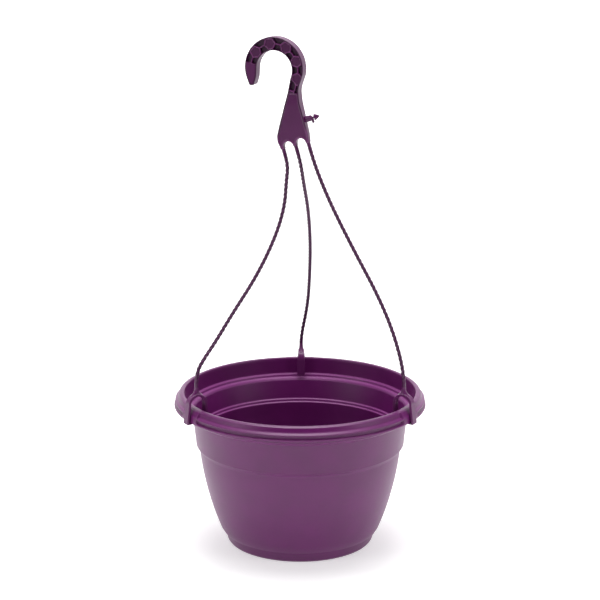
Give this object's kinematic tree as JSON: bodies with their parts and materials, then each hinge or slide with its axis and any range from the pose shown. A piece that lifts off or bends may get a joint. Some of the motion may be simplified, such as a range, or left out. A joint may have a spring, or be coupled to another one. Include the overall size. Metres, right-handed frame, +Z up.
{
  "type": "hanging basket",
  "caption": "Round moulded hanging basket with a rolled rim and two inner ledges; three twisted strands clip on the rim and meet at an open hook plate.",
  "frame": {"origin": "middle of the pot's foot, on the surface it stands on", "axes": "+Z up through the pot and the hanger, -Y to the front, where one clip is behind and two are in front to the left and right"},
  "size_m": [0.25, 0.2538, 0.5062],
  "materials": {
    "pot_plastic": "satin moulded polypropylene, plum purple",
    "hook_plastic": "satin moulded polypropylene, plum purple",
    "clip_plastic": "satin moulded polypropylene, plum purple",
    "strand_plastic": "moulded polypropylene with a twisted rope pattern, plum purple"
  },
  "bodies": {
    "pot": {"pot_shell": "pot_plastic"},
    "clips": {"rim_clip_left": "clip_plastic", "rim_clip_right": "clip_plastic", "rim_clip_back": "clip_plastic"},
    "strands": {"strand_left": "strand_plastic", "strand_right": "strand_plastic", "strand_back": "strand_plastic"},
    "hook": {"hook": "hook_plastic", "label_peg": "hook_plastic"}
  },
  "joints": [
    {"name": "hanger_turn", "type": "hinge", "parent": "pot", "child": "clips", "pos_m": [0, 0, 0.15], "axis": [0, 0, 1], "range_deg": [-3.5, 3.5]},
    {"name": "hanger_sway", "type": "hinge", "parent": "clips", "child": "strands", "pos_m": [0, 0, 0.172], "axis": [0, 1, 0], "range_deg": [-20, 30], "stiffness_Nm_per_rad": 0.5, "deforming": ["strand_left", "strand_right", "strand_back"]},
    {"name": "hook_nod", "type": "hinge", "parent": "strands", "child": "hook", "pos_m": [-0.00203, -0.00038, 0.39695], "axis": [0.8867, -0.3582, 0.2924], "range_deg": [-45, 45], "stiffness_Nm_per_rad": 0.15}
  ]
}
